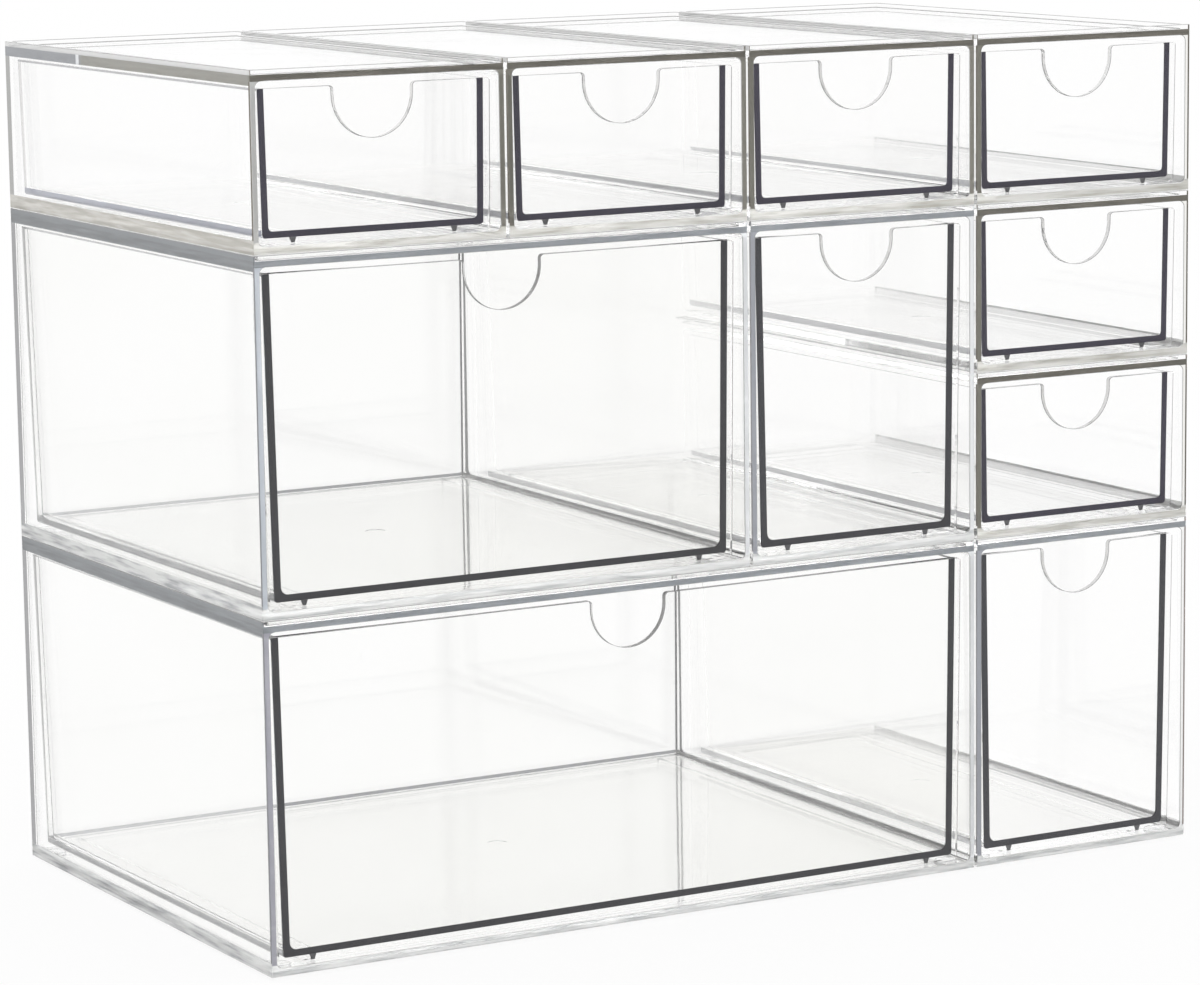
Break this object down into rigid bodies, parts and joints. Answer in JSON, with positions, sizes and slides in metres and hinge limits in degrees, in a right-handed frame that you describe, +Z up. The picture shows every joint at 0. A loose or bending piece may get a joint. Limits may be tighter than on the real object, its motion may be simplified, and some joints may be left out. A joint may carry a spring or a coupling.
{
  "type": "stackable drawer organizer",
  "caption": "Stack of clear moulded drawer units of mixed widths and heights; each case nests on the rim below and holds a pull-out drawer with a round finger notch.",
  "frame": {"origin": "on the floor under the centre of the stack's bounding box", "axes": "+X to the right across the fronts, +Y from the fronts to the back, +Z up"},
  "size_m": [0.3512, 0.192, 0.2819],
  "materials": {
    "clear_case": "clear polished polystyrene",
    "clear_drawer": "clear polished polystyrene",
    "soft_pad": "clear soft silicone"
  },
  "bodies": {
    "bottom_triple_case": {"case_bottom_triple": "clear_case", "pads_bottom_triple": "soft_pad"},
    "bottom_triple_drawer": {"drawer_bottom_triple": "clear_drawer"},
    "bottom_tall_case": {"case_bottom_tall": "clear_case", "pads_bottom_tall": "soft_pad"},
    "bottom_tall_drawer": {"drawer_bottom_tall": "clear_drawer"},
    "middle_double_case": {"case_middle_double": "clear_case", "pads_middle_double": "soft_pad"},
    "middle_double_drawer": {"drawer_middle_double": "clear_drawer"},
    "middle_tall_case": {"case_middle_tall": "clear_case", "pads_middle_tall": "soft_pad"},
    "middle_tall_drawer": {"drawer_middle_tall": "clear_drawer"},
    "right_low_case": {"case_right_low": "clear_case", "pads_right_low": "soft_pad"},
    "right_low_drawer": {"drawer_right_low": "clear_drawer"},
    "right_mid_case": {"case_right_mid": "clear_case", "pads_right_mid": "soft_pad"},
    "right_mid_drawer": {"drawer_right_mid": "clear_drawer"},
    "top_first_case": {"case_top_first": "clear_case", "pads_top_first": "soft_pad"},
    "top_first_drawer": {"drawer_top_first": "clear_drawer"},
    "top_second_case": {"case_top_second": "clear_case", "pads_top_second": "soft_pad"},
    "top_second_drawer": {"drawer_top_second": "clear_drawer"},
    "top_third_case": {"case_top_third": "clear_case", "pads_top_third": "soft_pad"},
    "top_third_drawer": {"drawer_top_third": "clear_drawer"},
    "top_fourth_case": {"case_top_fourth": "clear_case", "pads_top_fourth": "soft_pad"},
    "top_fourth_drawer": {"drawer_top_fourth": "clear_drawer"}
  },
  "joints": [
    {"name": "bottom_triple_slide", "type": "slide", "parent": "bottom_triple_case", "child": "bottom_triple_drawer", "axis": [0, -1, 0], "range_m": [0, 0.15]},
    {"name": "bottom_tall_lift", "type": "slide", "parent": "bottom_triple_case", "child": "bottom_tall_case", "axis": [0, 0, 1], "range_m": [0, 0.03]},
    {"name": "bottom_tall_slide", "type": "slide", "parent": "bottom_tall_case", "child": "bottom_tall_drawer", "axis": [0, -1, 0], "range_m": [0, 0.15]},
    {"name": "middle_double_lift", "type": "slide", "parent": "bottom_triple_case", "child": "middle_double_case", "axis": [0, 0, 1], "range_m": [0, 0.03]},
    {"name": "middle_double_slide", "type": "slide", "parent": "middle_double_case", "child": "middle_double_drawer", "axis": [0, -1, 0], "range_m": [0, 0.15]},
    {"name": "middle_tall_lift", "type": "slide", "parent": "bottom_triple_case", "child": "middle_tall_case", "axis": [0, 0, 1], "range_m": [0, 0.03]},
    {"name": "middle_tall_slide", "type": "slide", "parent": "middle_tall_case", "child": "middle_tall_drawer", "axis": [0, -1, 0], "range_m": [0, 0.15]},
    {"name": "right_low_lift", "type": "slide", "parent": "bottom_tall_case", "child": "right_low_case", "axis": [0, 0, 1], "range_m": [0, 0.03]},
    {"name": "right_low_slide", "type": "slide", "parent": "right_low_case", "child": "right_low_drawer", "axis": [0, -1, 0], "range_m": [0, 0.15]},
    {"name": "right_mid_lift", "type": "slide", "parent": "right_low_case", "child": "right_mid_case", "axis": [0, 0, 1], "range_m": [0, 0.03]},
    {"name": "right_mid_slide", "type": "slide", "parent": "right_mid_case", "child": "right_mid_drawer", "axis": [0, -1, 0], "range_m": [0, 0.15]},
    {"name": "top_first_lift", "type": "slide", "parent": "middle_double_case", "child": "top_first_case", "axis": [0, 0, 1], "range_m": [0, 0.03]},
    {"name": "top_first_slide", "type": "slide", "parent": "top_first_case", "child": "top_first_drawer", "axis": [0, -1, 0], "range_m": [0, 0.15]},
    {"name": "top_second_lift", "type": "slide", "parent": "middle_double_case", "child": "top_second_case", "axis": [0, 0, 1], "range_m": [0, 0.03]},
    {"name": "top_second_slide", "type": "slide", "parent": "top_second_case", "child": "top_second_drawer", "axis": [0, -1, 0], "range_m": [0, 0.15]},
    {"name": "top_third_lift", "type": "slide", "parent": "middle_tall_case", "child": "top_third_case", "axis": [0, 0, 1], "range_m": [0, 0.03]},
    {"name": "top_third_slide", "type": "slide", "parent": "top_third_case", "child": "top_third_drawer", "axis": [0, -1, 0], "range_m": [0, 0.15]},
    {"name": "top_fourth_lift", "type": "slide", "parent": "right_mid_case", "child": "top_fourth_case", "axis": [0, 0, 1], "range_m": [0, 0.03]},
    {"name": "top_fourth_slide", "type": "slide", "parent": "top_fourth_case", "child": "top_fourth_drawer", "axis": [0, -1, 0], "range_m": [0, 0.15]}
  ]
}
